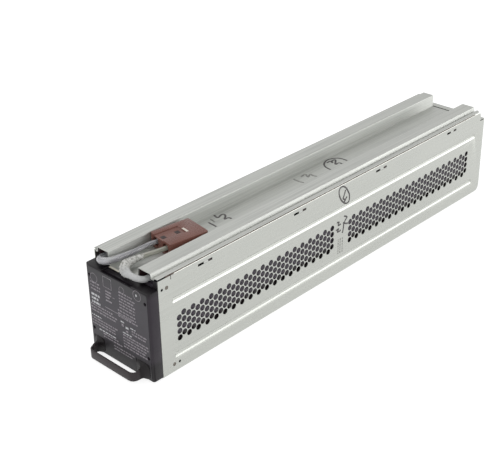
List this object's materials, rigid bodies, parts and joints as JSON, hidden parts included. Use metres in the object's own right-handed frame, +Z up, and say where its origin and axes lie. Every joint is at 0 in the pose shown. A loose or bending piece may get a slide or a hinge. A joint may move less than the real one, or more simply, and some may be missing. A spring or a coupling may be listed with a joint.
{
  "type": "ups battery cartridge",
  "caption": "Long slide-in battery cartridge: folded steel tray with perforated side and hat-railed cover, moulded front with a pull handle, and a two-pole lead connector in the top channel.",
  "frame": {"origin": "centre of the overall box, on the plane that the tray rests on", "axes": "+Z up, +Y along the cartridge to its rear end, -Y is the front with the pull handle"},
  "size_m": [0.095, 0.5972, 0.1197],
  "materials": {
    "galvanised_steel": "galvanised sheet, matt with fine rolling grain",
    "black_plastic": "fine-textured moulding",
    "label_film": "matt printed film",
    "handle_plastic": "smooth satin moulding",
    "connector_plastic": "satin red-brown moulding",
    "silvered_copper": "silver-plated",
    "spring_steel": "bright rolled",
    "clear_sleeve": "glossy clear jacket over grey strands",
    "lead_insulation": "satin",
    "battery_case": "plain dark case",
    "boot_insulation": "soft matt sleeve",
    "liner_film": "thin film",
    "foam": "open-cell foam",
    "zinc_screw": "zinc plated"
  },
  "bodies": {
    "root": {"tray_shell": "galvanised_steel", "top_cover": "galvanised_steel", "front_bezel": "black_plastic", "bezel_screws": "zinc_screw", "front_label": "label_film", "pull_handle": "handle_plastic", "handle_screws": "zinc_screw", "connector_housing": "connector_plastic", "connector_contact_left": "silvered_copper", "connector_contact_right": "silvered_copper", "connector_springs": "spring_steel", "lead_left": "clear_sleeve", "lead_right": "clear_sleeve", "lead_left_inner": "lead_insulation", "lead_right_inner": "lead_insulation", "base_liner": "liner_film", "top_insulator": "liner_film", "front_foam_pad": "foam", "rear_foam_pad": "foam", "battery_1": "battery_case", "battery_2": "battery_case", "battery_3": "battery_case", "battery_4": "battery_case", "battery_5": "battery_case", "battery_6": "battery_case", "battery_7": "battery_case", "battery_8": "battery_case", "jumper_1": "boot_insulation", "jumper_2": "boot_insulation", "jumper_3": "boot_insulation", "jumper_4": "boot_insulation", "jumper_5": "boot_insulation", "jumper_6": "boot_insulation", "jumper_7": "boot_insulation"}
  },
  "joints": []
}
